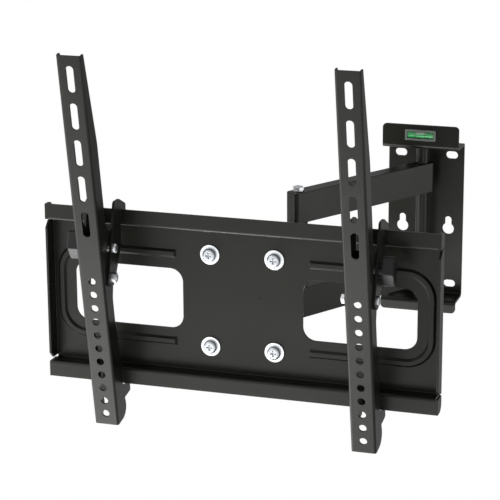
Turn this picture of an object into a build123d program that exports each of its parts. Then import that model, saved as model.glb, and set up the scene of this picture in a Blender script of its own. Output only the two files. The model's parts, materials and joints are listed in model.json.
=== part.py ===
import os
from math import atan2, cos, degrees, radians, sin

from build123d import *

os.makedirs("parts", exist_ok=True)

# Full-motion wall mount for a flat screen, in millimetres.
# Origin: centre of the wall plate's back face. +X right seen from the front, +Y into the wall.

# Fits shared by every piece
running_gap = 0.05
seat_gap = 0.05
hole_gap = 0.2
side_gap = 0.3

# Wall plate: one bent sheet with a level tab above and a stiffening lip below
wall_width = 96.0
wall_height = 200.0
wall_sheet = 3.0
wall_bend = 2.0
shelf_reach = 38.8
tab_rise = 27.3
tab_corner = 5.0
lip_drop = 12.1
wall_slot_span = (65.0, 167.4)
wall_slot_length = 15.0
wall_slot_width = 9.6
keyhole_span = 59.0
keyhole_z = -11.7
keyhole_head = 14.8
keyhole_neck = 8.4
keyhole_rise = 11.8

# Spirit level clipped into the tab
level_width = 38.6
level_height = 13.5
level_lip = 1.5
level_depth = 9.0
level_floor = 1.2
vial_dia = 8.4
vial_length = 33.0
vial_edge = 1.2
level_rise = 14.8

# Wall pivot: headed rod between the shelves, with spacer tubes between the arms
post_offset = 25.8
rod_dia = 10.0
rod_head_dia = 16.0
rod_head = 2.5
rod_edge = 0.8
spacer_dia = 15.4

# Box arms: two wall arms outside, two front arms nested between them
arm_width = 19.0
arm_height = 37.0
arm_wall = 2.5
arm_corner = 5.0
arm_edge = 1.0
arm_boss_dia = 17.0
wall_arm_length = 212.0
front_arm_length = 160.3
arm_post_end = 13.6
arm_bolt_end = 12.2
wall_arm_angle = 30.4
front_arm_angle = 1.0
middle_washer = 1.2

# Nylon bushes and arm bolts
bush_dia = 13.0
bush_proud = 0.8
arm_bolt_dia = 8.0
arm_nut_flats = 11.5
arm_nut_height = 3.5
arm_head_height = 4.0
arm_washer_dia = 13.3
arm_washer = 1.0
thread_end = 1.0
thread_edge = 0.6

# Head: welded clevis on a flat plate, behind the screen plate
head_standoff = 46.0
clevis_sheet = 4.0
clevis_width = 32.0
clevis_nose = 13.0
head_sheet = 3.0
head_width = 100.0
head_height = 130.0
head_corner = 8.0

# Screen plate: pressed tray with turned lips top and bottom
tv_width = 448.2
tv_sheet = 2.5
tray_depth = 17.0
tray_height = 164.0
lip_rise = 18.4
tv_bend = 0.8
corner_relief = 3.3
flange_height = 160.4
flange_cut = 7.0
return_start = 83.0
return_round = 9.0
window_width = 127.4
window_height = 69.0
window_corner = 15.0
window_x = 132.5
window_z = -1.2
bead_x = 212.0
bead_z = 50.5
bead_end = 76.0
bead_round = 28.0
bead_width = 9.5
bead_height = 2.5
bead_draft = 45.0
plate_bolt_span = (73.6, 105.5)
plate_bolt_dia = 8.0
plate_head_dia = 15.5
plate_head = 4.5
plate_dome = 3.2
plate_recess = (7.0, 1.8, 2.0)
plate_washer_dia = 22.0
plate_washer = 1.6
plate_nut_flats = 13.0
plate_nut = 6.5

# Screen rails: channels with slots above, round holes below and a shaped foot
rail_x = 148.2
rail_tilt = 10.5
rail_width = 28.0
rail_sheet = 2.0
rail_bend = 2.6
rail_top = 262.0
rail_bottom = -176.1
web_front = -18.5
flange_depth = 20.0
taper_depth = 7.4
taper_end = 157.0
waist_rise = -57.0
foot_step = 3.4
foot_lift = 16.4
neck_gap = 4.5
neck_drop = 4.8
heel_depth = 29.6
foot_round = 13.0
toe_corners = ((20.0, -4.5), (20.0, -18.6), (41.1, -13.6), (41.1, -18.6))
toe_round = 2.5
ear_round = 8.0
ear_lift = 4.0
ear_roots = (63.0, -26.0)
ear_root_round = 2.0
rail_slot_first = 236.0
rail_slot_pitch = 41.36
rail_slot_count = 5
rail_slot_length = 29.8
rail_slot_width = 8.5
rail_hole_first = 2.5
rail_hole_pitch = 16.47
rail_hole_count = 11
rail_hole_dia = 8.5

# Tilt brackets: hooked cheeks outside each rail, joined by a bridge
pivot_y = -51.3
pivot_z = 33.0
cheek_sheet = 2.5
cheek_round = 9.5
bracket_back = 7.0
crown_round = 4.0
crown_reach = (14.0, 4.0)
hook_rise = 14.9
hook_reach = 9.0
hook_drop = 11.0
jaw_drop = 6.0
jaw_round = 3.0
bridge_bottom = 60.0
bridge_top = 78.0
tilt_bolt_dia = 6.0
tilt_head_dia = 10.5
tilt_head = 4.0
tilt_dome = 2.4
pivot_head = 2.2
tilt_nut_flats = 10.0
tilt_nut_height = 4.6
lock_depth = 10.5
lock_rise = 30.5
tilt_travel = 15.0
slot_spare = 0.8

# Clamping knobs: a round hub and a flat wing with two blunt ridges
knob_hub_dia = 14.5
knob_hub = 5.0
knob_body = 12.3
knob_tip_radius = 13.8
knob_tip_angle = 98.0
knob_tip = 3.0
knob_ridge_radius = 6.2
knob_ridge_angle = 194.0
knob_ridge = 2.5
knob_edge = 0.8
knob_socket = 8.0

# Heights of the stacked arms, worked outwards from the middle
front_low = middle_washer / 2 + seat_gap + bush_proud
front_high = front_low + arm_height
ear_low = front_high + bush_proud + seat_gap
wall_arm_low = ear_low + bush_proud
wall_arm_high = wall_arm_low + arm_height
stack_top = wall_arm_high + bush_proud
shelf_face = wall_height / 2 - wall_sheet

# Pivot points in plan
post = Vector(0, -post_offset, 0)
wall_arm_dir = Vector(-sin(radians(wall_arm_angle)), -cos(radians(wall_arm_angle)), 0)
front_arm_dir = Vector(-sin(radians(front_arm_angle)), -cos(radians(front_arm_angle)), 0)
knuckle = post + wall_arm_dir * wall_arm_length
head = knuckle + front_arm_dir * front_arm_length
tv = Vector(head.X, head.Y - head_standoff, 0)


def level_plane(point, height, facing=1):
    return Plane(origin=(point.X, point.Y, height), x_dir=(1, 0, 0), z_dir=(0, 0, facing))


def front_plane(y):
    return Plane(origin=(tv.X, tv.Y + y, 0), x_dir=(1, 0, 0), z_dir=(0, -1, 0))


def side_plane(x, facing=1):
    return Plane(origin=(x, tv.Y, 0), x_dir=(0, 1, 0), z_dir=(facing, 0, 0))


# Wall bracket
with BuildPart() as wall_plate:
    with BuildSketch(Plane.YZ):
        with BuildLine():
            FilletPolyline(
                (wall_sheet - shelf_reach, -wall_height / 2 - lip_drop),
                (wall_sheet - shelf_reach, -wall_height / 2),
                (0, -wall_height / 2),
                (0, wall_height / 2),
                (wall_sheet - shelf_reach, wall_height / 2),
                (wall_sheet - shelf_reach, wall_height / 2 + tab_rise),
                radius=(wall_bend, wall_bend + wall_sheet, wall_bend + wall_sheet, wall_bend),
            )
            offset(amount=wall_sheet, side=Side.LEFT)
        make_face()
    extrude(amount=wall_width / 2, both=True)
    corners = wall_plate.edges().filter_by(Axis.Y).group_by(Axis.Z)
    fillet(corners[-1] + corners[0], tab_corner)
    with BuildSketch(Plane.XZ):
        with GridLocations(*wall_slot_span, 2, 2):
            SlotOverall(wall_slot_length, wall_slot_width)
        with Locations((-keyhole_span / 2, keyhole_z), (keyhole_span / 2, keyhole_z)):
            Circle(keyhole_head / 2)
            SlotCenterPoint((0, keyhole_rise / 2), (0, keyhole_rise), keyhole_neck)
    extrude(amount=wall_sheet, both=True, mode=Mode.SUBTRACT)
    with BuildSketch(Plane.XZ.offset(shelf_reach)):
        with Locations((0, wall_height / 2 + level_rise)):
            Rectangle(level_width - 2 * level_lip, level_height - 2 * level_lip)
    extrude(amount=-wall_sheet, mode=Mode.SUBTRACT)
    with BuildSketch(level_plane(post, 0)):
        Circle(rod_dia / 2)
    extrude(amount=wall_height / 2, both=True, mode=Mode.SUBTRACT)
wall_plate.part.label = "wall_plate"
export_step(wall_plate.part, "parts/wall_plate.step")

with BuildPart() as post_rod:
    with BuildSketch(level_plane(post, 0)):
        Circle(rod_dia / 2)
    extrude(amount=wall_height / 2, both=True)
    for facing in (1, -1):
        with BuildSketch(level_plane(post, facing * wall_height / 2, facing)):
            Circle(rod_head_dia / 2)
        extrude(amount=rod_head)
    ends = post_rod.faces().sort_by(Axis.Z)
    chamfer(ends[-1].edges() + ends[0].edges(), rod_edge)
post_rod.part.label = "post_rod"
export_step(post_rod.part, "parts/post_rod.step")

spacer_spans = {
    "post_spacer_top": (stack_top + seat_gap, shelf_face),
    "post_spacer_middle": (-wall_arm_low + bush_proud + seat_gap, wall_arm_low - bush_proud - seat_gap),
    "post_spacer_bottom": (-shelf_face, -stack_top - seat_gap),
}
for spacer_name, (spacer_low, spacer_high) in spacer_spans.items():
    with BuildPart() as post_spacer:
        with BuildSketch(level_plane(post, spacer_low)):
            Circle(spacer_dia / 2)
            Circle(rod_dia / 2 + running_gap, mode=Mode.SUBTRACT)
        extrude(amount=spacer_high - spacer_low)
    post_spacer.part.label = spacer_name
    export_step(post_spacer.part, f"parts/{spacer_name}.step")

level_centre = wall_height / 2 + level_rise
with BuildPart() as level_frame:
    with BuildSketch(Plane.XZ.offset(shelf_reach)):
        with Locations((0, level_centre)):
            RectangleRounded(level_width, level_height, level_lip)
    extrude(amount=level_lip)
    with BuildSketch(Plane.XZ.offset(shelf_reach)):
        with Locations((0, level_centre)):
            Rectangle(level_width - 2 * level_lip - running_gap, level_height - 2 * level_lip - running_gap)
    extrude(amount=level_lip - level_depth)
    with BuildSketch(Plane.XZ.offset(shelf_reach + level_lip)):
        with Locations((0, level_centre)):
            Rectangle(vial_length + 2 * running_gap, vial_dia + 2 * running_gap)
    extrude(amount=level_floor - level_depth, mode=Mode.SUBTRACT)
level_frame.part.label = "level_frame"
export_step(level_frame.part, "parts/level_frame.step")

vial_y = vial_dia / 2 + level_depth - level_lip - level_floor - shelf_reach - vial_dia
with BuildPart() as level_vial:
    with BuildSketch(Plane.YZ.offset(-vial_length / 2)):
        with Locations((vial_y, level_centre)):
            Circle(vial_dia / 2)
    extrude(amount=vial_length)
    chamfer(level_vial.edges().filter_by(GeomType.CIRCLE), vial_edge)
level_vial.part.label = "level_vial"
export_step(level_vial.part, "parts/level_vial.step")

# Arms: pressed boxes open underneath, with a tube for the bushes at each pivot
arm_spans = {
    "wall_arm_upper": (post, wall_arm_dir, wall_arm_length, arm_post_end, wall_arm_low),
    "wall_arm_lower": (post, wall_arm_dir, wall_arm_length, arm_post_end, -wall_arm_high),
    "front_arm_upper": (knuckle, front_arm_dir, front_arm_length, arm_bolt_end, front_low),
    "front_arm_lower": (knuckle, front_arm_dir, front_arm_length, arm_bolt_end, -front_high),
}
for arm_name, (start, direction, reach, near_end, low) in arm_spans.items():
    arm_base = Plane(origin=(start.X, start.Y, low), x_dir=direction, z_dir=(0, 0, 1))
    arm_length = near_end + reach + arm_bolt_end
    arm_middle = (reach + arm_bolt_end - near_end) / 2
    with BuildPart() as arm:
        with BuildSketch(arm_base):
            with Locations((arm_middle, 0)):
                RectangleRounded(arm_length, arm_width, arm_corner)
        extrude(amount=arm_height)
        with BuildSketch(arm_base):
            with Locations((arm_middle, 0)):
                RectangleRounded(arm_length - 2 * arm_wall, arm_width - 2 * arm_wall, arm_corner - arm_wall)
        extrude(amount=arm_height - arm_wall, mode=Mode.SUBTRACT)
        with BuildSketch(arm_base):
            with Locations((0, 0), (reach, 0)):
                Circle(arm_boss_dia / 2)
        extrude(amount=arm_height - arm_wall)
        with BuildSketch(arm_base):
            with Locations((0, 0), (reach, 0)):
                Circle(bush_dia / 2)
        extrude(amount=arm_height, mode=Mode.SUBTRACT)
        fillet(arm.faces().filter_by(Axis.Z).sort_by(Axis.Z)[-1].outer_wire().edges(), arm_edge)
    arm.part.label = arm_name
    export_step(arm.part, f"parts/{arm_name}.step")

wall_arm_mid = (wall_arm_low + wall_arm_high) / 2
front_arm_mid = (front_low + front_high) / 2
bush_sets = {
    "post_bushes": ([post], (wall_arm_mid, -wall_arm_mid), rod_dia),
    "wall_arm_bushes": ([knuckle], (wall_arm_mid, -wall_arm_mid), arm_bolt_dia),
    "front_arm_bushes": ([knuckle, head], (front_arm_mid, -front_arm_mid), arm_bolt_dia),
}
for bush_name, (centres, middles, bore) in bush_sets.items():
    with BuildPart() as bushes:
        for centre in centres:
            for middle in middles:
                with BuildSketch(level_plane(centre, middle)):
                    Circle(bush_dia / 2)
                    Circle(bore / 2 + running_gap, mode=Mode.SUBTRACT)
                extrude(amount=arm_height / 2 + bush_proud, both=True)
    bushes.part.label = bush_name
    export_step(bushes.part, f"parts/{bush_name}.step")

with BuildPart() as front_arm_washers:
    for centre in (knuckle, head):
        with BuildSketch(level_plane(centre, 0)):
            Circle(arm_boss_dia / 2)
            Circle(arm_bolt_dia / 2 + running_gap, mode=Mode.SUBTRACT)
        extrude(amount=middle_washer / 2 + seat_gap, both=True)
front_arm_washers.part.label = "front_arm_washers"
export_step(front_arm_washers.part, "parts/front_arm_washers.step")

# Long bolts through the knuckle and the head, head below and nut above
bolt_stacks = {"knuckle": (knuckle, stack_top), "head": (head, ear_low + clevis_sheet)}
for stack_name, (centre, outside) in bolt_stacks.items():
    washer_face = outside + arm_washer
    with BuildPart() as long_bolt:
        with BuildSketch(level_plane(centre, -washer_face)):
            Circle(arm_bolt_dia / 2)
        extrude(amount=2 * washer_face + arm_nut_height + thread_end)
        chamfer(long_bolt.faces().sort_by(Axis.Z)[-1].edges(), thread_edge)
        with BuildSketch(level_plane(centre, -washer_face, -1)):
            RegularPolygon(arm_nut_flats / 2, 6, major_radius=False)
        extrude(amount=arm_head_height)
    long_bolt.part.label = f"{stack_name}_bolt"
    export_step(long_bolt.part, f"parts/{stack_name}_bolt.step")

    with BuildPart() as long_nut:
        with BuildSketch(level_plane(centre, washer_face)):
            RegularPolygon(arm_nut_flats / 2, 6, major_radius=False)
            Circle(arm_bolt_dia / 2, mode=Mode.SUBTRACT)
        extrude(amount=arm_nut_height)
    long_nut.part.label = f"{stack_name}_nut"
    export_step(long_nut.part, f"parts/{stack_name}_nut.step")

    with BuildPart() as long_washers:
        for facing in (1, -1):
            with BuildSketch(level_plane(centre, facing * outside, facing)):
                Circle(arm_washer_dia / 2)
                Circle(arm_bolt_dia / 2 + running_gap, mode=Mode.SUBTRACT)
            extrude(amount=arm_washer)
    long_washers.part.label = f"{stack_name}_washers"
    export_step(long_washers.part, f"parts/{stack_name}_washers.step")

# Head clevis and its plate
with BuildPart() as head_clevis:
    web_face = tv_sheet + head_sheet
    ear_tip = head_standoff + clevis_nose
    with BuildSketch(side_plane(tv.X)):
        with BuildLine():
            FilletPolyline(
                (ear_tip, ear_low + clevis_sheet),
                (web_face, ear_low + clevis_sheet),
                (web_face, -ear_low - clevis_sheet),
                (ear_tip, -ear_low - clevis_sheet),
                radius=clevis_sheet + tv_bend,
            )
            offset(amount=clevis_sheet, side=Side.LEFT)
        make_face()
    extrude(amount=clevis_width / 2, both=True)
    fillet(head_clevis.edges().filter_by(Axis.Z).group_by(Axis.Y)[-1], clevis_nose)
    with BuildSketch(level_plane(head, 0)):
        Circle(arm_bolt_dia / 2 + hole_gap)
    extrude(amount=ear_low + clevis_sheet, both=True, mode=Mode.SUBTRACT)
head_clevis.part.label = "head_clevis"
export_step(head_clevis.part, "parts/head_clevis.step")

with BuildPart() as head_plate:
    with BuildSketch(front_plane(tv_sheet)):
        RectangleRounded(head_width, head_height, head_corner)
        with GridLocations(*plate_bolt_span, 2, 2):
            Circle(plate_bolt_dia / 2 + hole_gap, mode=Mode.SUBTRACT)
    extrude(amount=-head_sheet)
head_plate.part.label = "head_plate"
export_step(head_plate.part, "parts/head_plate.step")

# Screen plate
lip_top = tray_height / 2 + lip_rise
with BuildPart() as tv_plate:
    with BuildSketch(side_plane(tv.X)):
        with BuildLine():
            FilletPolyline(
                (-tray_depth, lip_top),
                (-tray_depth, tray_height / 2),
                (0, tray_height / 2),
                (0, -tray_height / 2),
                (-tray_depth, -tray_height / 2),
                (-tray_depth, -lip_top),
                radius=(tv_bend + tv_sheet, tv_bend, tv_bend, tv_bend + tv_sheet),
            )
            offset(amount=tv_sheet, side=Side.LEFT)
        make_face()
    extrude(amount=tv_width / 2 - corner_relief, both=True)
    with BuildSketch(Plane(origin=(tv.X, tv.Y, -flange_height / 2))):
        with BuildLine():
            FilletPolyline(
                (-tv_width / 2, -tray_depth),
                (-tv_width / 2, tv_sheet),
                (tv_width / 2, tv_sheet),
                (tv_width / 2, -tray_depth),
                radius=tv_bend + tv_sheet,
            )
            offset(amount=tv_sheet, side=Side.RIGHT)
        make_face()
    extrude(amount=flange_height)
    flange_corners = tv_plate.edges().filter_by(Axis.X).group_by(Axis.Y)[0]
    chamfer(flange_corners.filter_by(lambda edge: edge.length < 2 * tv_sheet), flange_cut)
    for level in (1, -1):
        band_middle = level * (return_start + lip_top) / 2
        with BuildSketch(front_plane(-tray_depth)):
            for end in (1, -1):
                with Locations((end * (tv_width - corner_relief) / 2, band_middle)):
                    Rectangle(corner_relief, lip_top - return_start)
        extrude(amount=-tv_sheet)
        for facing in (1, -1):
            with BuildSketch(side_plane(tv.X + facing * tv_width / 2, -facing)) as lip_return:
                with Locations((-tray_depth / 2, -facing * band_middle)):
                    Rectangle(tray_depth, lip_top - return_start)
                rear = lip_return.vertices().group_by(Axis.X)[-1].sort_by(Axis.Y)
                fillet(rear[-1 if level * facing < 0 else 0], return_round)
            extrude(amount=tv_sheet)
    with BuildSketch(front_plane(0)):
        with Locations((-window_x, window_z), (window_x, window_z)):
            RectangleRounded(window_width, window_height, window_corner)
        with GridLocations(*plate_bolt_span, 2, 2):
            Circle(plate_bolt_dia / 2 + hole_gap)
    extrude(amount=-tv_sheet, mode=Mode.SUBTRACT)
    for facing in (1, -1):
        with BuildSketch(front_plane(0)):
            with BuildLine():
                FilletPolyline(
                    (facing * bead_end, bead_z),
                    (facing * bead_x, bead_z),
                    (facing * bead_x, -bead_z),
                    (facing * bead_end, -bead_z),
                    radius=bead_round,
                )
            trace(line_width=bead_width)
        extrude(amount=bead_height, taper=bead_draft)
        with BuildSketch(front_plane(tv_sheet)):
            with BuildLine():
                FilletPolyline(
                    (facing * (bead_end + tv_sheet), bead_z),
                    (facing * bead_x, bead_z),
                    (facing * bead_x, -bead_z),
                    (facing * (bead_end + tv_sheet), -bead_z),
                    radius=bead_round,
                )
            trace(line_width=bead_width - tv_sheet)
        extrude(amount=bead_height, mode=Mode.SUBTRACT)
tv_plate.part.label = "tv_plate"
export_step(tv_plate.part, "parts/tv_plate.step")

with BuildPart() as plate_washers:
    with BuildSketch(front_plane(0)):
        with GridLocations(*plate_bolt_span, 2, 2):
            Circle(plate_washer_dia / 2)
            Circle(plate_bolt_dia / 2 + running_gap, mode=Mode.SUBTRACT)
    extrude(amount=plate_washer)
plate_washers.part.label = "plate_washers"
export_step(plate_washers.part, "parts/plate_washers.step")

plate_stack = plate_washer + tv_sheet + head_sheet
with BuildPart() as plate_bolts:
    with BuildSketch(front_plane(-plate_washer)):
        with GridLocations(*plate_bolt_span, 2, 2):
            Circle(plate_head_dia / 2)
    extrude(amount=plate_head)
    fillet(plate_bolts.edges().group_by(Axis.Y)[0], plate_dome)
    recess_length, recess_width, recess_depth = plate_recess
    with BuildSketch(front_plane(-plate_washer - plate_head)):
        with GridLocations(*plate_bolt_span, 2, 2):
            Rectangle(recess_length, recess_width)
            Rectangle(recess_width, recess_length)
    extrude(amount=-recess_depth, mode=Mode.SUBTRACT)
    with BuildSketch(front_plane(-plate_washer)):
        with GridLocations(*plate_bolt_span, 2, 2):
            Circle(plate_bolt_dia / 2)
    extrude(amount=-plate_stack - plate_nut - thread_end)
plate_bolts.part.label = "plate_bolts"
export_step(plate_bolts.part, "parts/plate_bolts.step")

with BuildPart() as plate_nuts:
    with BuildSketch(front_plane(tv_sheet + head_sheet)):
        with GridLocations(*plate_bolt_span, 2, 2):
            RegularPolygon(plate_nut_flats / 2, 6, major_radius=False)
            Circle(plate_bolt_dia / 2, mode=Mode.SUBTRACT)
    extrude(amount=-plate_nut)
plate_nuts.part.label = "plate_nuts"
export_step(plate_nuts.part, "parts/plate_nuts.step")

# Rails, tilt brackets, bolts and knobs, the same on both sides with the knob outwards
tilt = radians(rail_tilt)
rearward = Vector(0, cos(tilt), sin(tilt))
upward = Vector(0, -sin(tilt), cos(tilt))
lock_radius = Vector(lock_depth, lock_rise).length
lock_angle = degrees(atan2(lock_rise, lock_depth))
lock_arc = CenterArc((0, 0), lock_radius, lock_angle - slot_spare, tilt_travel + 2 * slot_spare)
lock_point = rearward * lock_depth + upward * lock_rise
lock_y = pivot_y + lock_point.Y
lock_z = pivot_z + lock_point.Z
cheek_inner = rail_width / 2 + side_gap
cheek_outer = cheek_inner + cheek_sheet
flange_edge = web_front + flange_depth
ear_root = flange_edge - ear_root_round
lip_edge = -lip_top - pivot_z
lip_face = (-tray_depth - pivot_y) * cos(tilt) + lip_edge * sin(tilt)
neck_depth = lip_face - neck_gap
bracket_rear = -tray_depth - bracket_back
hook_rear = -tray_depth + hook_reach
slot_front = -tray_depth - 2 * side_gap
slot_rear = -tray_depth + tv_sheet + 2 * side_gap
crown = lip_top + hook_rise - crown_round
leg_corners = [
    (bracket_rear - crown_round, bridge_bottom + crown_round),
    (bracket_rear - crown_reach[0], crown),
    (bracket_rear - crown_round, crown),
]
hook_corners = [(bracket_rear - crown_round, crown), (hook_rear - crown_round, crown - 2 * crown_reach[1])]
jaw_corners = [
    (hook_rear - jaw_round, lip_top - hook_drop + jaw_round),
    (slot_front - jaw_round, lip_top - jaw_drop + jaw_round),
]

for side, outward in (("left", -1), ("right", 1)):
    middle_x = tv.X + outward * rail_x
    pivot = Vector(middle_x, tv.Y + pivot_y, pivot_z)
    lock = Vector(middle_x, tv.Y + lock_y, lock_z)
    rail_side = Plane(origin=pivot, x_dir=rearward, z_dir=(1, 0, 0))
    rail_face = Plane(origin=pivot + rearward * web_front, x_dir=(1, 0, 0), z_dir=-rearward)

    with BuildPart() as rail:
        with BuildSketch(rail_side) as flange:
            with BuildLine():
                Polyline(
                    (web_front, rail_top),
                    (web_front + taper_depth, rail_top),
                    (flange_edge, taper_end),
                    (flange_edge, waist_rise),
                    (neck_depth + foot_step, lip_edge + foot_lift),
                    (neck_depth, lip_edge - neck_drop),
                    (web_front + heel_depth, rail_bottom),
                    (web_front, rail_bottom),
                    close=True,
                )
            make_face()
            fillet(flange.vertices().group_by(Axis.Y)[0].sort_by(Axis.X)[-1], foot_round)
        extrude(amount=rail_width / 2, both=True)
        with BuildSketch(rail_side):
            with Locations(*[(web_front + depth, lip_edge + rise) for depth, rise in toe_corners]):
                Circle(toe_round)
            make_hull()
        extrude(amount=rail_width / 2, both=True)
        with BuildSketch(rail_side):
            Circle(cheek_round)
            with Locations((lock_depth, lock_rise + ear_lift)):
                Circle(ear_round)
            with Locations(*[(ear_root, rise) for rise in ear_roots]):
                Circle(ear_root_round)
            make_hull()
        extrude(amount=rail_width / 2, both=True)
        web = rail.faces().sort_by(Axis(pivot, rearward))[0]
        fillet(web.edges().sort_by(SortBy.LENGTH)[-2:], rail_bend)
        with BuildSketch(rail_face.offset(-rail_sheet)):
            with Locations((0, (rail_top + rail_bottom) / 2)):
                Rectangle(rail_width - 2 * rail_sheet, 2 * rail_top)
        extrude(amount=-rail_top, mode=Mode.SUBTRACT)
        with BuildSketch(rail_face):
            for step in range(rail_slot_count):
                with Locations((0, rail_slot_first - step * rail_slot_pitch)):
                    SlotOverall(rail_slot_length, rail_slot_width, rotation=90)
            for step in range(rail_hole_count):
                with Locations((0, rail_hole_first - step * rail_hole_pitch)):
                    Circle(rail_hole_dia / 2)
        extrude(amount=-rail_sheet, mode=Mode.SUBTRACT)
        with BuildSketch(rail_side):
            Circle(tilt_bolt_dia / 2 + running_gap)
            SlotArc(lock_arc, tilt_bolt_dia + 2 * side_gap)
        extrude(amount=rail_width / 2, both=True, mode=Mode.SUBTRACT)
    rail.part.label = f"rail_{side}"
    export_step(rail.part, f"parts/rail_{side}.step")

    with BuildPart() as tilt_bracket:
        for facing in (1, -1):
            cheek_face = side_plane(middle_x + facing * cheek_inner)
            with BuildSketch(cheek_face):
                with Locations((pivot_y, pivot_z)):
                    Circle(cheek_round)
                with Locations(*leg_corners):
                    Circle(crown_round)
                make_hull()
            extrude(amount=facing * cheek_sheet)
            with BuildSketch(cheek_face):
                with Locations(*hook_corners):
                    Circle(crown_round)
                with Locations(*jaw_corners):
                    Circle(jaw_round)
                make_hull()
            extrude(amount=facing * cheek_sheet)
            with BuildSketch(cheek_face):
                with Locations(((slot_front + slot_rear) / 2, lip_top + seat_gap)):
                    Rectangle(slot_rear - slot_front, 2 * lip_rise, align=(Align.CENTER, Align.MAX))
                with Locations((pivot_y, pivot_z), (lock_y, lock_z)):
                    Circle(tilt_bolt_dia / 2 + hole_gap)
            extrude(amount=facing * cheek_sheet, mode=Mode.SUBTRACT)
        with BuildSketch(side_plane(middle_x)):
            with Locations((bracket_rear - cheek_sheet / 2, (bridge_bottom + bridge_top) / 2)):
                Rectangle(cheek_sheet, bridge_top - bridge_bottom)
        extrude(amount=cheek_inner, both=True)
    tilt_bracket.part.label = f"tilt_bracket_{side}"
    export_step(tilt_bracket.part, f"parts/tilt_bracket_{side}.step")

    inner_face = Plane(
        origin=(middle_x - outward * cheek_outer, lock.Y, lock.Z), x_dir=(0, 1, 0), z_dir=(outward, 0, 0)
    )
    with BuildPart() as lock_bolt:
        with BuildSketch(inner_face):
            Circle(tilt_head_dia / 2)
        extrude(amount=-tilt_head)
        fillet(lock_bolt.faces().sort_by(Axis.X)[0 if outward > 0 else -1].edges(), tilt_dome)
        with BuildSketch(inner_face):
            Circle(tilt_bolt_dia / 2)
        extrude(amount=2 * cheek_outer + knob_hub + knob_socket)
    lock_bolt.part.label = f"lock_bolt_{side}"
    export_step(lock_bolt.part, f"parts/lock_bolt_{side}.step")

    outer_face = Plane(
        origin=(middle_x + outward * cheek_outer, pivot.Y, pivot.Z), x_dir=(0, 1, 0), z_dir=(-outward, 0, 0)
    )
    with BuildPart() as pivot_bolt:
        with BuildSketch(outer_face):
            Circle(tilt_head_dia / 2)
        extrude(amount=-pivot_head)
        chamfer(pivot_bolt.faces().sort_by(Axis.X)[-1 if outward > 0 else 0].edges(), thread_edge)
        with BuildSketch(outer_face):
            Circle(tilt_bolt_dia / 2)
        extrude(amount=2 * cheek_outer + tilt_nut_height + thread_end)
    pivot_bolt.part.label = f"pivot_bolt_{side}"
    export_step(pivot_bolt.part, f"parts/pivot_bolt_{side}.step")

    with BuildPart() as pivot_nut:
        with BuildSketch(outer_face.offset(2 * cheek_outer)):
            RegularPolygon(tilt_nut_flats / 2, 6, major_radius=False)
            Circle(tilt_bolt_dia / 2, mode=Mode.SUBTRACT)
        extrude(amount=tilt_nut_height)
    pivot_nut.part.label = f"pivot_nut_{side}"
    export_step(pivot_nut.part, f"parts/pivot_nut_{side}.step")

    knob_seat = Plane(
        origin=(middle_x + outward * (cheek_outer + seat_gap), lock.Y, lock.Z),
        x_dir=(0, 1, 0),
        z_dir=(outward, 0, 0),
    )
    with BuildPart() as knob:
        with BuildSketch(knob_seat):
            Circle(knob_hub_dia / 2)
        extrude(amount=knob_hub)
        with BuildSketch(knob_seat.offset(knob_hub)):
            with PolarLocations(knob_tip_radius, 2, start_angle=outward * knob_tip_angle):
                Circle(knob_tip)
            with PolarLocations(knob_ridge_radius, 2, start_angle=outward * knob_ridge_angle):
                Circle(knob_ridge)
            make_hull()
        extrude(amount=knob_body)
        chamfer(knob.faces().sort_by(Axis.X)[-1 if outward > 0 else 0].edges(), knob_edge)
        with BuildSketch(knob_seat):
            Circle(tilt_bolt_dia / 2 + running_gap)
        extrude(amount=knob_hub + knob_socket + seat_gap, mode=Mode.SUBTRACT)
    knob.part.label = f"knob_{side}"
    export_step(knob.part, f"parts/knob_{side}.step")
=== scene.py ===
import json
from collections import namedtuple
from math import cos, pi, radians, sin

import bmesh
import bpy
from bpy.props import FloatProperty, FloatVectorProperty, PointerProperty
from mathutils import Matrix, Vector

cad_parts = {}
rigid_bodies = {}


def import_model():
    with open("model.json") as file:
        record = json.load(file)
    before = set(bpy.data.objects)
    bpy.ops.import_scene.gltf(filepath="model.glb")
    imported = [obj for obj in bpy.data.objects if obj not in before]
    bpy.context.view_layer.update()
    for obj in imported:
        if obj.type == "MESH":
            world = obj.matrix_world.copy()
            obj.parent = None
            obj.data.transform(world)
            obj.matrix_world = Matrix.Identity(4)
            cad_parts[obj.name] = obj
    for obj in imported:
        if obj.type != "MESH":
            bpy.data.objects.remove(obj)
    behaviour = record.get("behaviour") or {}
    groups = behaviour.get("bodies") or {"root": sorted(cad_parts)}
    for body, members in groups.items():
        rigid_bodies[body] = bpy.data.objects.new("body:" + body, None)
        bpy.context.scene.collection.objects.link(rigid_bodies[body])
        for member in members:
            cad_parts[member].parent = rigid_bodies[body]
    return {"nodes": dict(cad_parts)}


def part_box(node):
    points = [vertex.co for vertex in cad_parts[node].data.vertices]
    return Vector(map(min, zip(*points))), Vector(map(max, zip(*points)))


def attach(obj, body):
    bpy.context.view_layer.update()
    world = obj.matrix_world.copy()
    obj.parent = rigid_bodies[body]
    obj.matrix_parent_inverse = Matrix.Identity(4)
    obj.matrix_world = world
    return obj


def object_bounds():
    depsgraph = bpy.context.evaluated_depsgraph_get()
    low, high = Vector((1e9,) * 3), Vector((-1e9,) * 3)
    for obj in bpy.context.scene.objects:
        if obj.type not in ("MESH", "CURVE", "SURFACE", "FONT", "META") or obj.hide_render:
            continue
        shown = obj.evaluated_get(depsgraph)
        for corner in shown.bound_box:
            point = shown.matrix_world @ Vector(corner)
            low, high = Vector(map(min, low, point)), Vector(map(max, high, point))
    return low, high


bl_info = {
    "name": "Wall Mount Finish",
    "version": (1, 0, 0),
    "blender": (4, 5, 0),
    "location": "View3D > Sidebar > Wall Mount",
    "description": "Finishes, small hardware, studio and camera for a full-motion screen wall mount",
    "category": "Object",
}

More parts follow.
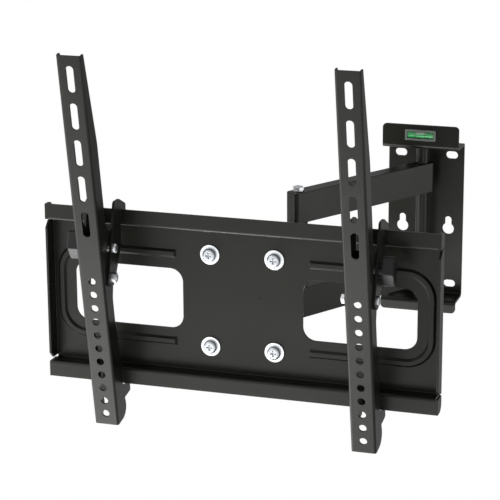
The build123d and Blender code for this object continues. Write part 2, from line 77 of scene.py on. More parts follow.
for leftover in list(bpy.data.objects):
    bpy.data.objects.remove(leftover)
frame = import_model()
cad_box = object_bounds()
nodes = frame["nodes"]

SHEET_NODES = [
    "wall_plate", "tv_plate", "head_plate", "head_clevis", "tilt_bracket_left", "tilt_bracket_right",
    "rail_left", "rail_right",
]
ARM_NODES = ["wall_arm_upper", "wall_arm_lower", "front_arm_upper", "front_arm_lower"]
PIN_NODES = ["post_rod", "post_spacer_top", "post_spacer_middle", "post_spacer_bottom"]
NYLON_NODES = ["post_bushes", "wall_arm_bushes", "front_arm_bushes", "front_arm_washers"]
LOOSE_STEEL_NODES = [
    "knuckle_nut", "knuckle_washers", "head_nut", "head_washers", "plate_washers", "plate_nuts",
    "lock_bolt_left", "lock_bolt_right", "pivot_nut_left", "pivot_nut_right", "pivot_bolt_left",
    "pivot_bolt_right",
]
SCREW_NODES = ["plate_bolts"]
THREADED_NODES = ["knuckle_bolt", "head_bolt"]
KNOB_NODES = ["knob_left", "knob_right"]

# All lengths are in metres
# Finishes: width of one pebble, width of the tone drift, edge round, roughness drift either way,
# depth of the pebbles and how strongly they show
Surface = namedtuple("Surface", "grain drift edge roughness_drift depth strength")
COAT = Surface(grain=0.0011, drift=0.06, edge=0.0005, roughness_drift=0.035, depth=0.00006, strength=0.35)
ZINC = Surface(grain=0.0007, drift=0.006, edge=0.0003, roughness_drift=0.07, depth=0.00003, strength=0.12)
PLASTIC = Surface(grain=0.0008, drift=0.02, edge=0.0004, roughness_drift=0.05, depth=0.00004, strength=0.3)

# Noise of the pebbles and of the drift, and the part of its span that is used
PEBBLE_DETAIL = 3.0
DRIFT_DETAIL = 4.0
NOISE_ROUGHNESS = 0.55
NOISE_SPAN = (0.3, 0.7)

# Cut edges: rays per sample, how fast the mask fills as the normal turns, and its full strength
EDGE_SAMPLES = 6
EDGE_FILL = 4.0
EDGE_RUB = 0.6

# Zinc: tone of its duller patches
DULL_ZINC = 0.86

# Screw threads: pitch, radius that they reach, depth, and how far up a face may look and still carry them
THREAD_PITCH = 0.00125
THREAD_REACH = 0.0041
THREAD_DEPTH = 0.0009
THREAD_FACING = 0.5

# Plastics: tone of the paler patches, and the values of each moulding and of the level's ink
PALE_PLASTIC = 1.35
PLASTIC_SHEEN = 0.5
BUSH_ROUGHNESS = 0.5
BUSH_GRAIN = 0.0006
KNOB_ROUGHNESS = 0.25
KNOB_SHEEN = 0.24
LEVEL_ROUGHNESS = 0.25
LEVEL_GRAIN = 0.0007
INK_COLOUR = (0.01, 0.012, 0.01)
INK_ROUGHNESS = 0.4
INK_GRAIN = 0.001

# Spirit: width and tone of its deeper patches, roughness, clearness, and gloss of the acrylic
SPIRIT_DRIFT = 0.012
DEEP_SPIRIT = 0.75
SPIRIT_ROUGHNESS = 0.08
SPIRIT_CLEAR = 0.15
SPIRIT_GLOSS = 0.6

# The bubble is drawn long and near white, leaning to the front: partly a real bubble, partly a painted
# highlight along the top of the vial
# Bubble: width and tone of its deeper patches, and roughness
BUBBLE_DRIFT = 0.004
DEEP_BUBBLE = 0.8
BUBBLE_ROUGHNESS = 0.1

# Bubble: lean toward the front, depth under the glass, half width, half height, reach of its ends
BUBBLE_LEAN = radians(50)
BUBBLE_SINK = 0.0009
BUBBLE_HALF_WIDTH = 0.0019
BUBBLE_HALF_HEIGHT = 0.00105
BUBBLE_TIP = 0.96
BUBBLE_STEPS = 14
BUBBLE_POINTS = 20

# Level marks: width, height above the glass, and where on the swell they start and stop
MARK_WIDTH = 0.0005
MARK_HEIGHT = 0.00012
MARK_END = 0.08
MARK_STEPS = 6
MARK_POINTS = 40

# Weld beads: gap to the clevis ends, ripples and their depth, taper and tip at the ends, arc of the bead
WELD_END_GAP = 0.006
WELD_RIPPLES = 26
WELD_RIPPLE_DEPTH = 0.1
WELD_TAPER = 12
WELD_TIP = 0.25
WELD_ARC_START = radians(-20)
WELD_ARC = radians(130)
WELD_STEPS = 96
WELD_POINTS = 10

# Studio: where the room's light falls off, the floor and its fade to white, the camera's sensor and reach
WHITE = (1, 1, 1, 1)
ROOM_FALL = (-0.8, 0.6)
FLOOR_COLOUR = (0.85, 0.85, 0.85, 1)
FLOOR_ROUGHNESS = 0.9
FLOOR_HALF = 1.5
FLOOR_FADE = (0.2 * FLOOR_HALF, 0.95 * FLOOR_HALF)
SENSOR_WIDTH = 36.0
CAMERA_REACH = 50.0

# Soft boxes: name, turn from square, height, distance, level at the mount, width over distance
SOFT_BOXES = (
    ("low_left_box", radians(-52), radians(-34), 1.6, 7.8, 0.6),
    ("strip_left_box", radians(-51), radians(-53), 1.22, 2.0, 0.18),
    ("strip_middle_box", radians(-34), radians(-60), 1.12, 3.6, 0.19),
    ("strip_right_box", radians(-7), radians(-64), 1.08, 1.3, 0.19),
    ("low_corner_box", radians(-49), radians(-67), 1.05, 1.8, 0.25),
    ("foot_box", radians(-23), radians(-37), 1.5, 1.2, 0.3),
    ("foot_right_box", radians(-10), radians(-36), 1.5, 1.2, 0.3),
    ("high_left_box", radians(-40), radians(20), 1.6, 2.0, 0.5),
    ("front_box", radians(-18), radians(-16), 2.2, 0.35, 0.5),
    ("front_right_box", radians(25), radians(-15), 1.8, 0.8, 0.5),
    ("right_box", radians(99), radians(-3), 1.9, 2.6, 0.6),
    ("back_box", radians(190), radians(-28), 1.8, 2.4, 0.5),
    ("edge_box", radians(126), radians(46), 1.6, 1.0, 0.3),
    ("top_box", radians(180), radians(72), 1.6, 2.0, 0.6),
)


class CoatSettings(bpy.types.PropertyGroup):
    colour: FloatVectorProperty(
        name="Coat colour", description="Colour of the satin powder coat", subtype="COLOR", size=3,
        default=(0.0168, 0.0174, 0.0134), min=0.0, max=1.0)
    worn_colour: FloatVectorProperty(
        name="Rubbed edge colour", description="Slightly paler coat where handling has rubbed cut edges",
        subtype="COLOR", size=3, default=(0.034, 0.034, 0.031), min=0.0, max=1.0)
    roughness: FloatProperty(
        name="Roughness", description="Mean roughness of the satin coat", default=0.3, min=0.0, max=1.0,
        subtype="FACTOR")
    sheen: FloatProperty(
        name="Sheen", description="Strength of the coat's reflections", default=0.24, min=0.0, max=1.0,
        subtype="FACTOR")
    grain: FloatProperty(
        name="Grain size", description="Width of one pebble of the powder coat", default=COAT.grain,
        min=0.0002, max=0.01, unit="LENGTH")
    edge: FloatProperty(
        name="Edge round", description="How far the coat rounds a cut edge", default=COAT.edge, min=0.0,
        max=0.003, unit="LENGTH")


class HardwareSettings(bpy.types.PropertyGroup):
    zinc: FloatVectorProperty(
        name="Zinc colour", description="Colour of the bright zinc plating", subtype="COLOR", size=3,
        default=(0.76, 0.78, 0.8), min=0.0, max=1.0)
    # Screw colour: a darker copy of the zinc, painted shade that dims the screw heads against the washers
    screw: FloatVectorProperty(
        name="Screw colour", description="Colour of the plated screw heads", subtype="COLOR", size=3,
        default=(0.5, 0.525, 0.55), min=0.0, max=1.0)
    zinc_roughness: FloatProperty(
        name="Zinc roughness", description="Mean roughness of the plating", default=0.34, min=0.0, max=1.0,
        subtype="FACTOR")
    thread_pitch: FloatProperty(
        name="Thread pitch", description="Distance from one thread crest to the next", default=THREAD_PITCH,
        min=0.0005, max=0.003, unit="LENGTH")
    nylon: FloatVectorProperty(
        name="Bush colour", description="Colour of the nylon bushes", subtype="COLOR", size=3,
        default=(0.012, 0.012, 0.012), min=0.0, max=1.0)
    knob: FloatVectorProperty(
        name="Knob colour", description="Colour of the moulded knobs", subtype="COLOR", size=3,
        default=(0.011, 0.011, 0.0115), min=0.0, max=1.0)
    weld_radius: FloatProperty(
        name="Weld bead", description="Radius of the weld beads beside the head clevis", default=0.0022,
        min=0.0005, max=0.005, unit="LENGTH")


class LevelSettings(bpy.types.PropertyGroup):
    spirit: FloatVectorProperty(
        name="Spirit colour", description="Colour of the liquid in the vial", subtype="COLOR", size=3,
        default=(0.075, 0.82, 0.22), min=0.0, max=1.0)
    # Bubble colour: near white, partly the bubble and partly a painted highlight along the vial's top
    bubble: FloatVectorProperty(
        name="Bubble colour", description="Colour of the bubble under the glass", subtype="COLOR", size=3,
        default=(0.75, 0.95, 0.76), min=0.0, max=1.0)
    plastic: FloatVectorProperty(
        name="Frame colour", description="Colour of the level's moulded frame", subtype="COLOR", size=3,
        default=(0.22, 0.235, 0.22), min=0.0, max=1.0)
    # Bubble length: stretched to carry the painted highlight along the vial's top
    bubble_length: FloatProperty(
        name="Bubble length", description="Length of the bubble along the vial", default=0.019, min=0.002,
        max=0.02, unit="LENGTH")
    mark_span: FloatProperty(
        name="Mark spacing", description="Distance between the two level marks", default=0.0112, min=0.002,
        max=0.03, unit="LENGTH")


class StageSettings(bpy.types.PropertyGroup):
    camera_place: FloatVectorProperty(
        name="Camera place", description="Where the camera stands", subtype="TRANSLATION", size=3,
        default=(0.54194, -2.41641, 0.65871), unit="LENGTH")
    turn: FloatProperty(
        name="Turn", description="How far to the right of square the camera stands", default=radians(17.810),
        subtype="ANGLE")
    height: FloatProperty(
        name="Height", description="How far above level the camera stands", default=radians(15.857),
        subtype="ANGLE")
    roll: FloatProperty(
        name="Roll", description="Lean of the camera about its line of sight", default=radians(-0.307),
        subtype="ANGLE")
    lens: FloatProperty(
        name="Lens", description="Focal length in millimetres on a 36 mm sensor", default=144.98, min=10.0,
        max=400.0)
    room_light: FloatProperty(
        name="Room light", description="Level of the room's light on matt surfaces", default=0.1, min=0.0,
        max=2.0)
    lamp_level: FloatProperty(
        name="Lamp level", description="Level of all the soft lamps together", default=0.7, min=0.0, max=5.0)
    bright_side: FloatVectorProperty(
        name="Bright side", description="Where the room is brightest, seen from the mount",
        subtype="DIRECTION", size=3, default=(-0.55, -0.62, -0.55))
    dim_side: FloatProperty(
        name="Dim side", description="Share of light on the far side of the room", default=0.28, min=0.0,
        max=1.0, subtype="FACTOR")
    floor_drop: FloatProperty(
        name="Floor drop", description="How far the floor lies below the wall plate's middle", default=1.2,
        min=0.3, max=3.0, unit="LENGTH")
    floor_glow: FloatProperty(
        name="Floor glow", description="Share of plain white below the mount; the rest shows its shadow",
        default=0.85, min=0.0, max=1.0, subtype="FACTOR")


def new_group(name, inputs, outputs):
    """An empty shader node group with the given sockets, and its two end nodes."""
    group = bpy.data.node_groups.new(name, "ShaderNodeTree")
    for label, kind, value in inputs:
        socket = group.interface.new_socket(label, in_out="INPUT", socket_type=kind)
        socket.default_value = value
    for label, kind in outputs:
        group.interface.new_socket(label, in_out="OUTPUT", socket_type=kind)
    return group, group.nodes.new("NodeGroupInput"), group.nodes.new("NodeGroupOutput")


def math_node(tree, operation, *values, clamp=False):
    """A math node whose inputs are sockets or plain numbers; returns its output."""
    node = tree.nodes.new("ShaderNodeMath")
    node.operation = operation
    node.use_clamp = clamp
    for socket, value in zip(node.inputs, values):
        if isinstance(value, (int, float)):
            socket.default_value = value
        else:
            tree.links.new(value, socket)
    return node.outputs[0]


def ease(tree, source, span, low):
    """Eases from low to 1 as the source crosses the span."""
    node = tree.nodes.new("ShaderNodeMapRange")
    node.interpolation_type = "SMOOTHSTEP"
    node.inputs["From Min"].default_value, node.inputs["From Max"].default_value = span
    node.inputs["To Min"].default_value = low
    tree.links.new(source, node.inputs["Value"])
    return node.outputs["Result"]


def sight_rays(tree):
    """Masks of the rays by which the camera, and gloss or clear plastic, see the surroundings."""
    path = tree.nodes.new("ShaderNodeLightPath")
    gloss = math_node(tree, "MAXIMUM", path.outputs["Is Glossy Ray"], path.outputs["Is Transmission Ray"])
    return path.outputs["Is Camera Ray"], gloss


def pebble_group():
    """Fine pebbled height and broad tone drift of a sprayed or moulded surface."""
    group, start, end = new_group(
        "Pebbled Surface",
        [("Size", "NodeSocketFloat", COAT.grain), ("Drift Size", "NodeSocketFloat", COAT.drift)],
        [("Height", "NodeSocketFloat"), ("Drift", "NodeSocketFloat")])
    place = group.nodes.new("ShaderNodeTexCoord")
    for size, target, detail in (("Size", "Height", PEBBLE_DETAIL), ("Drift Size", "Drift", DRIFT_DETAIL)):
        noise = group.nodes.new("ShaderNodeTexNoise")
        noise.inputs["Detail"].default_value = detail
        noise.inputs["Roughness"].default_value = NOISE_ROUGHNESS
        group.links.new(place.outputs["Object"], noise.inputs["Vector"])
        group.links.new(math_node(group, "DIVIDE", 1.0, start.outputs[size]), noise.inputs["Scale"])
        group.links.new(noise.outputs["Fac"], end.inputs[target])
    return group


def edge_group():
    """Rounded normal at cut edges, and a mask of where those edges are."""
    group, start, end = new_group(
        "Rounded Edge",
        [("Radius", "NodeSocketFloat", COAT.edge), ("Rub", "NodeSocketFloat", EDGE_RUB)],
        [("Normal", "NodeSocketVector"), ("Edge", "NodeSocketFloat")])
    bevel = group.nodes.new("ShaderNodeBevel")
    bevel.samples = EDGE_SAMPLES
    group.links.new(start.outputs["Radius"], bevel.inputs["Radius"])
    flat = group.nodes.new("ShaderNodeNewGeometry")
    facing = group.nodes.new("ShaderNodeVectorMath")
    facing.operation = "DOT_PRODUCT"
    group.links.new(bevel.outputs["Normal"], facing.inputs[0])
    group.links.new(flat.outputs["Normal"], facing.inputs[1])
    turned = math_node(group, "SUBTRACT", 1.0, facing.outputs["Value"], clamp=True)
    filled = math_node(group, "MULTIPLY", turned, EDGE_FILL, clamp=True)
    rubbed = math_node(group, "MULTIPLY", filled, start.outputs["Rub"], clamp=True)
    group.links.new(bevel.outputs["Normal"], end.inputs["Normal"])
    group.links.new(rubbed, end.inputs["Edge"])
    return group


def thread_group():
    """Height of a screw thread round an upright axis, zero beyond its reach."""
    group, start, end = new_group(
        "Screw Thread",
        [("Axis", "NodeSocketVector", (0, 0, 0)), ("Pitch", "NodeSocketFloat", THREAD_PITCH),
         ("Reach", "NodeSocketFloat", THREAD_REACH)],
        [("Height", "NodeSocketFloat")])
    place = group.nodes.new("ShaderNodeTexCoord")
    offset = group.nodes.new("ShaderNodeVectorMath")
    offset.operation = "SUBTRACT"
    group.links.new(place.outputs["Object"], offset.inputs[0])
    group.links.new(start.outputs["Axis"], offset.inputs[1])
    parts = group.nodes.new("ShaderNodeSeparateXYZ")
    group.links.new(offset.outputs["Vector"], parts.inputs[0])
    x, y, z = parts.outputs
    radius = math_node(group, "SQRT", math_node(
        group, "ADD", math_node(group, "MULTIPLY", x, x), math_node(group, "MULTIPLY", y, y)))
    turn = math_node(group, "DIVIDE", math_node(group, "ARCTAN2", y, x), 2 * pi)
    climb = math_node(group, "ADD", math_node(group, "DIVIDE", z, start.outputs["Pitch"]), turn)
    crest = math_node(group, "PINGPONG", climb, 0.5)
    inside = math_node(group, "LESS_THAN", radius, start.outputs["Reach"])
    surface = group.nodes.new("ShaderNodeNewGeometry")
    facing = group.nodes.new("ShaderNodeSeparateXYZ")
    group.links.new(surface.outputs["True Normal"], facing.inputs[0])
    upward = math_node(group, "ABSOLUTE", facing.outputs["Z"])
    round_side = math_node(group, "LESS_THAN", upward, THREAD_FACING)
    cut = math_node(group, "MULTIPLY", inside, round_side)
    group.links.new(math_node(group, "MULTIPLY", crest, cut), end.inputs["Height"])
    return group


def shared(name, builder):
    """The node group of that name, built on first use."""
    return bpy.data.node_groups.get(name) or builder()


def place_group(material, group, **values):
    """Puts a node group into a material, with its inputs set."""
    node = material.node_tree.nodes.new("ShaderNodeGroup")
    node.node_tree = group
    for label, value in values.items():
        node.inputs[label.replace("_", " ")].default_value = value
    return node


def new_material(name):
    """A fresh material with its Principled shader."""
    material = bpy.data.materials.new(name)
    material.use_nodes = True
    return material, material.node_tree.nodes["Principled BSDF"]


def spread_value(material, source, low, high):
    """Maps the used part of a noise onto low to high."""
    node = material.node_tree.nodes.new("ShaderNodeMapRange")
    node.inputs["From Min"].default_value, node.inputs["From Max"].default_value = NOISE_SPAN
    node.inputs["To Min"].default_value = low
    node.inputs["To Max"].default_value = high
    material.node_tree.links.new(source, node.inputs["Value"])
    return node.outputs["Result"]


def blend_colour(material, factor, first, second):
    """A colour that goes from first to second with the factor socket."""
    node = material.node_tree.nodes.new("ShaderNodeMix")
    node.data_type = "RGBA"
    node.inputs["A"].default_value = (*first, 1.0)
    node.inputs["B"].default_value = (*second, 1.0)
    material.node_tree.links.new(factor, node.inputs["Factor"])
    return node.outputs["Result"]


def bump(material, height, normal, distance, strength):
    """The given normal, bumped by a height."""
    node = material.node_tree.nodes.new("ShaderNodeBump")
    node.inputs["Distance"].default_value = distance
    node.inputs["Strength"].default_value = strength
    material.node_tree.links.new(height, node.inputs["Height"])
    material.node_tree.links.new(normal, node.inputs["Normal"])
    return node.outputs["Normal"]


def lay_surface(material, shader, surface, roughness):
    """Gives a shader its roughness; returns the tone drift, the edge mask and the pebbled normal."""
    pebble = place_group(
        material, shared("Pebbled Surface", pebble_group), Size=surface.grain, Drift_Size=surface.drift)
    edge = place_group(material, shared("Rounded Edge", edge_group), Radius=surface.edge)
    drift = pebble.outputs["Drift"]
    rough = spread_value(
        material, drift, roughness - surface.roughness_drift, roughness + surface.roughness_drift)
    material.node_tree.links.new(rough, shader.inputs["Roughness"])
    normal = bump(
        material, pebble.outputs["Height"], edge.outputs["Normal"], surface.depth, surface.strength)
    return drift, edge.outputs["Edge"], normal


def drifting_colour(material, width, first, second):
    """A colour that wanders between two tones in patches of about that width."""
    pebble = place_group(material, shared("Pebbled Surface", pebble_group), Drift_Size=width)
    return blend_colour(material, pebble.outputs["Drift"], first, second)


def coat_material(settings):
    """Satin black powder coat: pebbled, with rounded and faintly rubbed cut edges."""
    material, shader = new_material("black_powder_coat")
    links = material.node_tree.links
    surface = COAT._replace(grain=settings.grain, edge=settings.edge)
    _, edge, normal = lay_surface(material, shader, surface, settings.roughness)
    colour = blend_colour(material, edge, settings.colour, settings.worn_colour)
    links.new(colour, shader.inputs["Base Color"])
    shader.inputs["Specular IOR Level"].default_value = settings.sheen
    links.new(normal, shader.inputs["Normal"])
    return material


def zinc_material(name, settings, colour, axis=None):
    """Bright zinc plate with fine tumbling marks; with an axis, its shank carries a thread."""
    material, shader = new_material(name)
    links = material.node_tree.links
    drift, _, normal = lay_surface(material, shader, ZINC, settings.zinc_roughness)
    dull = [DULL_ZINC * channel for channel in colour]
    links.new(blend_colour(material, drift, dull, colour), shader.inputs["Base Color"])
    shader.inputs["Metallic"].default_value = 1.0
    if axis is not None:
        thread = place_group(
            material, shared("Screw Thread", thread_group), Axis=axis, Pitch=settings.thread_pitch)
        normal = bump(material, thread.outputs["Height"], normal, THREAD_DEPTH, 1.0)
    links.new(normal, shader.inputs["Normal"])
    return material


def plastic_material(name, colour, roughness, grain=PLASTIC.grain, sheen=PLASTIC_SHEEN):
    """Moulded plastic with a fine spark-eroded grain."""
    material, shader = new_material(name)
    links = material.node_tree.links
    drift, _, normal = lay_surface(material, shader, PLASTIC._replace(grain=grain), roughness)
    pale = [min(1.0, PALE_PLASTIC * channel) for channel in colour]
    links.new(blend_colour(material, drift, colour, pale), shader.inputs["Base Color"])
    shader.inputs["Specular IOR Level"].default_value = sheen
    links.new(normal, shader.inputs["Normal"])
    return material


def spirit_material(settings):
    """Green spirit behind clear acrylic."""
    material, shader = new_material("green_spirit")
    deep = [DEEP_SPIRIT * channel for channel in settings.spirit]
    colour = drifting_colour(material, SPIRIT_DRIFT, deep, settings.spirit)
    material.node_tree.links.new(colour, shader.inputs["Base Color"])
    shader.inputs["Roughness"].default_value = SPIRIT_ROUGHNESS
    shader.inputs["Transmission Weight"].default_value = SPIRIT_CLEAR
    shader.inputs["Coat Weight"].default_value = SPIRIT_GLOSS
    return material


def bubble_and_highlight_material(settings):
    """Pale colour of the air bubble, which also paints the highlight along the top of the vial."""
    material, shader = new_material("level_bubble_painted_highlight")
    deep = [DEEP_BUBBLE * channel for channel in settings.bubble]
    colour = drifting_colour(material, BUBBLE_DRIFT, deep, settings.bubble)
    material.node_tree.links.new(colour, shader.inputs["Base Color"])
    shader.inputs["Roughness"].default_value = BUBBLE_ROUGHNESS
    return material


def dress(names, material):
    """Gives every slot of the named CAD nodes one material."""
    for name in names:
        slots = nodes[name].data.materials
        slots.clear()
        slots.append(material)


def add_piece(name, mesh, body, material):
    """Links a finished mesh as a piece that rides on a body."""
    piece = bpy.data.objects.new(name, mesh)
    bpy.context.scene.collection.objects.link(piece)
    mesh.materials.append(material)
    for face in mesh.polygons:
        face.use_smooth = True
    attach(piece, body)


def ring(middle, first, second, count):
    """Points round an ellipse with the two given half axes."""
    return [middle + first * cos(a) + second * sin(a) for a in (2 * pi * k / count for k in range(count))]


def loft_rings(name, rings):
    """A closed mesh through rings of equal point counts, capped at both ends."""
    shape = bmesh.new()
    loops = [[shape.verts.new(point) for point in points] for points in rings]
    for near, far in zip(loops, loops[1:]):
        count = len(near)
        for i in range(count):
            j = (i + 1) % count
            shape.faces.new((near[i], near[j], far[j], far[i]))
    shape.faces.new(loops[0])
    shape.faces.new(list(reversed(loops[-1])))
    bmesh.ops.recalc_face_normals(shape, faces=shape.faces)
    mesh = bpy.data.meshes.new(name)
    shape.to_mesh(mesh)
    shape.free()
    return mesh


def bubble_and_highlight_rings(level, centre, radius):
    """A long flat bubble under the glass, turned toward the front; pale and stretched, it also paints the
    highlight along the vial's top.
    """
    lean = Vector((0.0, -sin(BUBBLE_LEAN), cos(BUBBLE_LEAN)))
    across = Vector((0.0, lean.z, -lean.y))
    rings = []
    for i in range(BUBBLE_STEPS + 1):
        along = BUBBLE_TIP * (2 * i / BUBBLE_STEPS - 1)
        swell = (1.0 - along ** 4) ** 0.5
        middle = centre + Vector((along * level.bubble_length / 2, 0, 0)) + lean * (radius - BUBBLE_SINK)
        half_width = across * (BUBBLE_HALF_WIDTH * swell)
        half_height = lean * (BUBBLE_HALF_HEIGHT * swell)
        rings.append(ring(middle, half_width, half_height, BUBBLE_POINTS))
    return rings


def mark_rings(level, centre, radius, side):
    """A low round line about the vial, to one side of its middle."""
    rings = []
    for i in range(MARK_STEPS + 1):
        share = i / MARK_STEPS
        reach = radius + MARK_HEIGHT * sin(pi * (MARK_END + (1 - 2 * MARK_END) * share))
        x = centre.x + side * level.mark_span / 2 + MARK_WIDTH * (share - 0.5)
        middle = Vector((x, centre.y, centre.z))
        rings.append(ring(middle, Vector((0, reach, 0)), Vector((0, 0, reach)), MARK_POINTS))
    return rings


def weld_rings(radius, bottom, top, side):
    """A rippled bead from bottom to top, tapered at its ends and bulging to one side."""
    rings = []
    for i in range(WELD_STEPS + 1):
        along = i / WELD_STEPS
        ends = min(1.0, WELD_TAPER * along + WELD_TIP, WELD_TAPER * (1 - along) + WELD_TIP)
        wave = abs(sin(along * WELD_RIPPLES * pi))
        ripple = radius * ends * (1 - WELD_RIPPLE_DEPTH + WELD_RIPPLE_DEPTH * wave)
        middle = bottom + (top - bottom) * along
        angles = [WELD_ARC_START + WELD_ARC * k / (WELD_POINTS - 1) for k in range(WELD_POINTS)]
        rings.append([middle + Vector((side * ripple * cos(a), ripple * sin(a), 0.0)) for a in angles])
    return rings


def outward(turn, height):
    """The direction from the mount that is turned right of square and raised by these angles."""
    return Vector((sin(turn) * cos(height), -cos(turn) * cos(height), sin(height)))


class WALLMOUNT_OT_coat(bpy.types.Operator):
    """Powder-coats the plates, arms, rails, brackets and post"""
    bl_idname = "wallmount.coat"
    bl_label = "Coat Steel"

    def execute(self, context):
        dress(SHEET_NODES + ARM_NODES + PIN_NODES, coat_material(context.scene.mount_coat))
        return {"FINISHED"}


class WALLMOUNT_OT_fasteners(bpy.types.Operator):
    """Zinc-plates the bolts, nuts and washers"""
    bl_idname = "wallmount.fasteners"
    bl_label = "Plate Fasteners"

    def execute(self, context):
        hardware = context.scene.mount_hardware
        dress(LOOSE_STEEL_NODES, zinc_material("bright_zinc", hardware, hardware.zinc))
        # The screw heads take the darker copy of the zinc: painted shade
        dress(SCREW_NODES, zinc_material("screw_zinc_painted_shade", hardware, hardware.screw))
        for name in THREADED_NODES:
            low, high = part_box(name)
            axis = ((low.x + high.x) / 2, (low.y + high.y) / 2, 0.0)
            dress([name], zinc_material(f"{name}_zinc", hardware, hardware.zinc, axis))
        return {"FINISHED"}


class WALLMOUNT_OT_bushes(bpy.types.Operator):
    """Gives the pivot bushes and washers their nylon"""
    bl_idname = "wallmount.bushes"
    bl_label = "Bushes"

    def execute(self, context):
        colour = context.scene.mount_hardware.nylon
        dress(NYLON_NODES, plastic_material("bush_nylon", colour, BUSH_ROUGHNESS, BUSH_GRAIN))
        return {"FINISHED"}


class WALLMOUNT_OT_knobs(bpy.types.Operator):
    """Gives the tilt knobs their moulded plastic"""
    bl_idname = "wallmount.knobs"
    bl_label = "Knobs"

    def execute(self, context):
        colour = context.scene.mount_hardware.knob
        dress(KNOB_NODES, plastic_material("knob_plastic", colour, KNOB_ROUGHNESS, sheen=KNOB_SHEEN))
        return {"FINISHED"}


class WALLMOUNT_OT_level(bpy.types.Operator):
    """Finishes the spirit level and adds its marks and its bubble, which also paints the highlight along the
    vial's top
    """
    bl_idname = "wallmount.level"
    bl_label = "Spirit Level"

    def execute(self, context):
        level = context.scene.mount_level
        frame_plastic = plastic_material("level_frame_plastic", level.plastic, LEVEL_ROUGHNESS, LEVEL_GRAIN)
        dress(["level_frame"], frame_plastic)
        dress(["level_vial"], spirit_material(level))
        low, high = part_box("level_vial")
        centre = (low + high) / 2
        radius = (high.z - low.z) / 2
        bubble = loft_rings("level_bubble", bubble_and_highlight_rings(level, centre, radius))
        # The bubble piece is partly a real bubble and partly a painted highlight
        add_piece("level_bubble", bubble, "wall_bracket", bubble_and_highlight_material(level))
        ink = plastic_material("level_mark_ink", INK_COLOUR, INK_ROUGHNESS, INK_GRAIN)
        for side, label in ((-1, "left"), (1, "right")):
            mark = loft_rings("level_mark", mark_rings(level, centre, radius, side))
            add_piece(f"level_mark_{label}", mark, "wall_bracket", ink)
        return {"FINISHED"}


class WALLMOUNT_OT_welds(bpy.types.Operator):
    """Runs a rippled weld bead down each side of the head clevis"""
    bl_idname = "wallmount.welds"
    bl_label = "Clevis Welds"

    def execute(self, context):
        radius = context.scene.mount_hardware.weld_radius
        coat = bpy.data.materials["black_powder_coat"]
        low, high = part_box("head_clevis")
        plate_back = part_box("head_plate")[1].y
        for side, x, label in ((-1, low.x, "left"), (1, high.x, "right")):
            bottom = Vector((x, plate_back, low.z + WELD_END_GAP))
            top = Vector((x, plate_back, high.z - WELD_END_GAP))
            bead = loft_rings("clevis_weld", weld_rings(radius, bottom, top, side))
            add_piece(f"clevis_weld_{label}", bead, "head", coat)
        return {"FINISHED"}


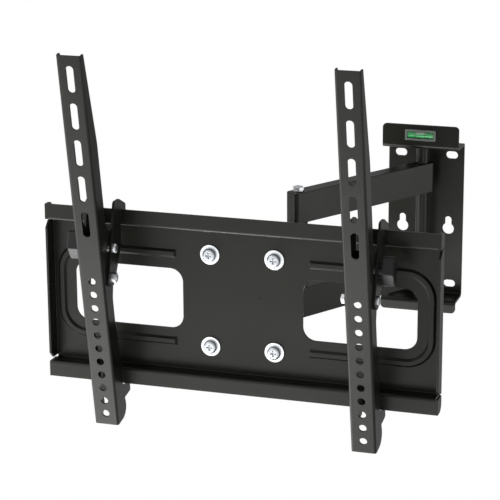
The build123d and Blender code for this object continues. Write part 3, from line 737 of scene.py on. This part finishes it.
class WALLMOUNT_OT_stage(bpy.types.Operator):
    """Sets the room's light, the pale floor, the soft lamps and the camera"""
    bl_idname = "wallmount.stage"
    bl_label = "Studio"

    def execute(self, context):
        stage = context.scene.mount_stage
        context.scene.view_settings.view_transform = "Standard"
        self.light_room(context.scene, stage)
        self.lay_floor(stage)
        self.hang_lamps(stage)
        self.set_camera(context.scene, stage)
        return {"FINISHED"}

    def light_room(self, scene, stage):
        """White to the camera; to gloss and matt surfaces a pale room, dimmer away from the bright side."""
        world = bpy.data.worlds.new("pale_room")
        scene.world = world
        world.use_nodes = True
        tree = world.node_tree
        tree.nodes.clear()
        place = tree.nodes.new("ShaderNodeTexCoord")
        toward = tree.nodes.new("ShaderNodeVectorMath")
        toward.operation = "DOT_PRODUCT"
        toward.inputs[1].default_value = Vector(stage.bright_side).normalized()
        tree.links.new(place.outputs["Generated"], toward.inputs[0])
        fall = ease(tree, toward.outputs["Value"], ROOM_FALL, stage.dim_side)
        camera, gloss = sight_rays(tree)
        level = math_node(tree, "MULTIPLY_ADD", gloss, 1.0 - stage.room_light, stage.room_light)
        dimmed = math_node(tree, "MULTIPLY", level, fall)
        room = tree.nodes.new("ShaderNodeBackground")
        room.inputs["Color"].default_value = WHITE
        tree.links.new(math_node(tree, "MAXIMUM", dimmed, camera), room.inputs["Strength"])
        out = tree.nodes.new("ShaderNodeOutputWorld")
        tree.links.new(room.outputs[0], out.inputs["Surface"])

    def lay_floor(self, stage):
        """A matt floor that shows the mount's shadow and fades to plain white at its edges."""
        material, matte = new_material("pale_floor")
        tree = material.node_tree
        matte.inputs["Base Color"].default_value = FLOOR_COLOUR
        matte.inputs["Roughness"].default_value = FLOOR_ROUGHNESS
        glow = tree.nodes.new("ShaderNodeEmission")
        glow.inputs["Strength"].default_value = 1.0
        mix = tree.nodes.new("ShaderNodeMixShader")
        place = tree.nodes.new("ShaderNodeTexCoord")
        reach = tree.nodes.new("ShaderNodeVectorMath")
        reach.operation = "LENGTH"
        tree.links.new(place.outputs["Object"], reach.inputs[0])
        fade = ease(tree, reach.outputs["Value"], FLOOR_FADE, stage.floor_glow)
        camera, gloss = sight_rays(tree)
        seen = math_node(tree, "MAXIMUM", camera, gloss)
        tree.links.new(math_node(tree, "MULTIPLY", seen, fade), mix.inputs[0])
        tree.links.new(matte.outputs[0], mix.inputs[1])
        tree.links.new(glow.outputs[0], mix.inputs[2])
        tree.links.new(mix.outputs[0], tree.nodes["Material Output"].inputs["Surface"])
        near, far = -FLOOR_HALF, FLOOR_HALF
        mesh = bpy.data.meshes.new("studio_floor")
        mesh.from_pydata(
            [(near, near, 0), (far, near, 0), (far, far, 0), (near, far, 0)], [], [(0, 1, 2, 3)])
        mesh.materials.append(material)
        floor = bpy.data.objects.new("studio_floor", mesh)
        floor.location = (0, 0, -stage.floor_drop)
        bpy.context.scene.collection.objects.link(floor)

    def hang_lamps(self, stage):
        """Soft boxes round the middle of the mount, most of their light from low on the left."""
        middle = (cad_box[0] + cad_box[1]) / 2
        for label, turn, height, distance, level, spread in SOFT_BOXES:
            aim = outward(turn, height)
            lamp = bpy.data.lights.new(label, "AREA")
            lamp.energy = stage.lamp_level * level * distance ** 2
            lamp.size = spread * distance
            holder = bpy.data.objects.new(label, lamp)
            holder.location = middle + aim * distance
            holder.rotation_euler = aim.to_track_quat("Z", "Y").to_euler()
            holder.visible_camera = False
            bpy.context.scene.collection.objects.link(holder)

    def set_camera(self, scene, stage):
        """Stands the camera at its place, turned, raised and leaned as set."""
        camera = bpy.data.cameras.new("view_camera")
        camera.sensor_width = SENSOR_WIDTH
        camera.lens = stage.lens
        camera.clip_end = CAMERA_REACH
        holder = bpy.data.objects.new("view_camera", camera)
        back = outward(stage.turn, stage.height)
        right = Vector((cos(stage.turn), sin(stage.turn), 0.0))
        up = back.cross(right)
        leaned_right = right * cos(stage.roll) + up * sin(stage.roll)
        leaned_up = up * cos(stage.roll) - right * sin(stage.roll)
        turn = Matrix((leaned_right, leaned_up, back)).transposed().to_4x4()
        holder.matrix_world = Matrix.Translation(stage.camera_place) @ turn
        scene.collection.objects.link(holder)
        scene.camera = holder


class WALLMOUNT_PT_panel(bpy.types.Panel):
    """Lists the finishing steps"""
    bl_idname = "WALLMOUNT_PT_panel"
    bl_label = "Wall Mount"
    bl_space_type = "VIEW_3D"
    bl_region_type = "UI"
    bl_category = "Wall Mount"

    def draw(self, context):
        for settings, operators in PANEL_ROWS:
            group = getattr(context.scene, settings)
            box = self.layout.box()
            for label in group.bl_rna.properties.keys():
                if label not in ("rna_type", "name"):
                    box.prop(group, label)
            for operator in operators:
                box.operator(operator.bl_idname)


PANEL_ROWS = (
    ("mount_coat", (WALLMOUNT_OT_coat,)),
    ("mount_hardware", (
        WALLMOUNT_OT_fasteners, WALLMOUNT_OT_bushes, WALLMOUNT_OT_knobs, WALLMOUNT_OT_welds)),
    ("mount_level", (WALLMOUNT_OT_level,)),
    ("mount_stage", (WALLMOUNT_OT_stage,)),
)
SETTINGS = {
    "mount_coat": CoatSettings,
    "mount_hardware": HardwareSettings,
    "mount_level": LevelSettings,
    "mount_stage": StageSettings,
}
OPERATORS = [operator for _, operators in PANEL_ROWS for operator in operators]


def register():
    for label, group in SETTINGS.items():
        bpy.utils.register_class(group)
        setattr(bpy.types.Scene, label, PointerProperty(type=group))
    for cls in OPERATORS + [WALLMOUNT_PT_panel]:
        bpy.utils.register_class(cls)


def unregister():
    for cls in [WALLMOUNT_PT_panel] + OPERATORS[::-1]:
        bpy.utils.unregister_class(cls)
    for label, group in SETTINGS.items():
        delattr(bpy.types.Scene, label)
        bpy.utils.unregister_class(group)


def main():
    register()
    bpy.ops.wallmount.coat()
    bpy.ops.wallmount.fasteners()
    bpy.ops.wallmount.bushes()
    bpy.ops.wallmount.knobs()
    bpy.ops.wallmount.welds()
    bpy.ops.wallmount.level()
    bpy.ops.wallmount.stage()


if __name__ == "__main__":
    main()
